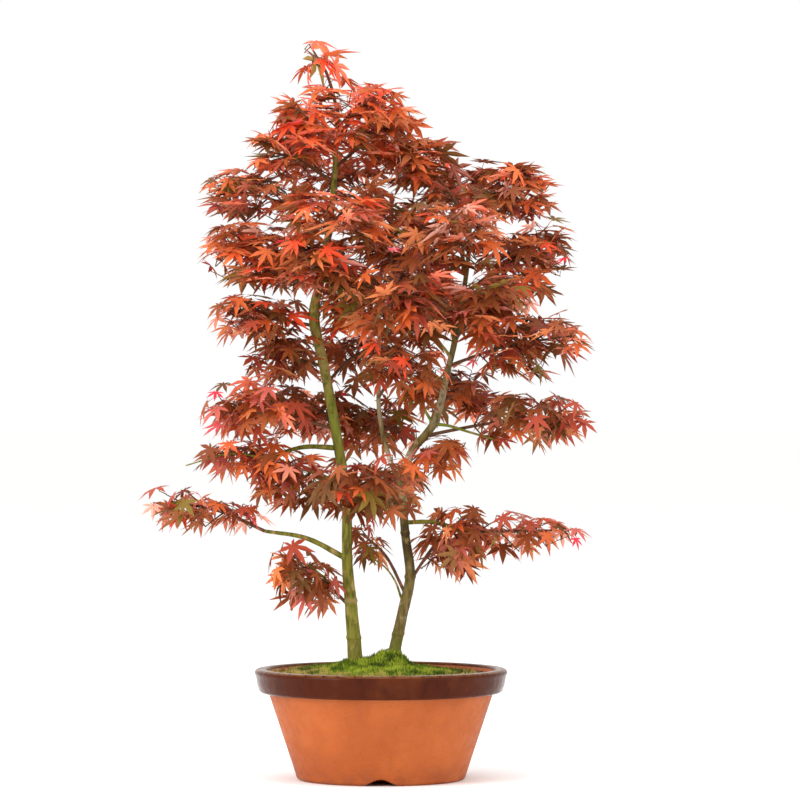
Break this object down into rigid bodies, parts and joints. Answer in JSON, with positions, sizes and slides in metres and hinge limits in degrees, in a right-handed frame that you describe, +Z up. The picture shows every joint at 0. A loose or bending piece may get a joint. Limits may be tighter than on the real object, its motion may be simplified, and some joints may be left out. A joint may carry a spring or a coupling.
{
  "type": "potted japanese maple",
  "caption": "Twin-trunk maple with layered red palmate foliage, in a round tapered terracotta pot with a thick brown glazed collar.",
  "frame": {"origin": "centre of the pot's flat underside, on the surface the pot stands on", "axes": "+Z up along the pot's axis, -Y towards the viewer (the front), +X to the viewer's right"},
  "size_m": [0.5446, 0.3527, 0.8728],
  "materials": {
    "terracotta": "matte, unglazed",
    "glaze": "satin to gloss brown glaze",
    "soil": "rough, crumbly",
    "moss": "soft, matte",
    "bark": "smooth bark with ring scars",
    "foliage": "satin leaf"
  },
  "bodies": {
    "root": {"bough_back_upper": "bark", "bough_front_upper": "bark", "bough_left_reach": "bark", "bough_left_wisp": "bark", "bough_right_reach": "bark", "foliage_back_high_left": "foliage", "foliage_back_high_right": "foliage", "foliage_back_left": "foliage", "foliage_back_low": "foliage", "foliage_back_lower": "foliage", "foliage_back_lower_left": "foliage", "foliage_back_lower_right": "foliage", "foliage_back_middle": "foliage", "foliage_back_right": "foliage", "foliage_back_upper": "foliage", "foliage_core": "foliage", "foliage_front_high_left": "foliage", "foliage_front_high_right": "foliage", "foliage_front_left": "foliage", "foliage_front_low": "foliage", "foliage_front_middle": "foliage", "foliage_front_right": "foliage", "foliage_front_upper": "foliage", "foliage_left_foot": "foliage", "foliage_left_high": "foliage", "foliage_left_inner": "foliage", "foliage_left_lower": "foliage", "foliage_left_middle": "foliage", "foliage_left_reach": "foliage", "foliage_left_shoulder": "foliage", "foliage_left_skirt": "foliage", "foliage_left_upper": "foliage", "foliage_left_wisp": "foliage", "foliage_middle_low": "foliage", "foliage_middle_right": "foliage", "foliage_middle_upper": "foliage", "foliage_right_foot": "foliage", "foliage_right_high": "foliage", "foliage_right_inner": "foliage", "foliage_right_lower": "foliage", "foliage_right_middle": "foliage", "foliage_right_reach": "foliage", "foliage_right_shoulder": "foliage", "foliage_right_top": "foliage", "foliage_top": "foliage", "foliage_top_centre": "foliage", "foliage_top_front": "foliage", "foliage_top_right": "foliage", "moss": "moss", "pot_bowl": "terracotta", "pot_collar": "glaze", "soil": "soil", "stem_middle": "bark", "trunk_left": "bark", "trunk_right": "bark"}
  },
  "joints": []
}
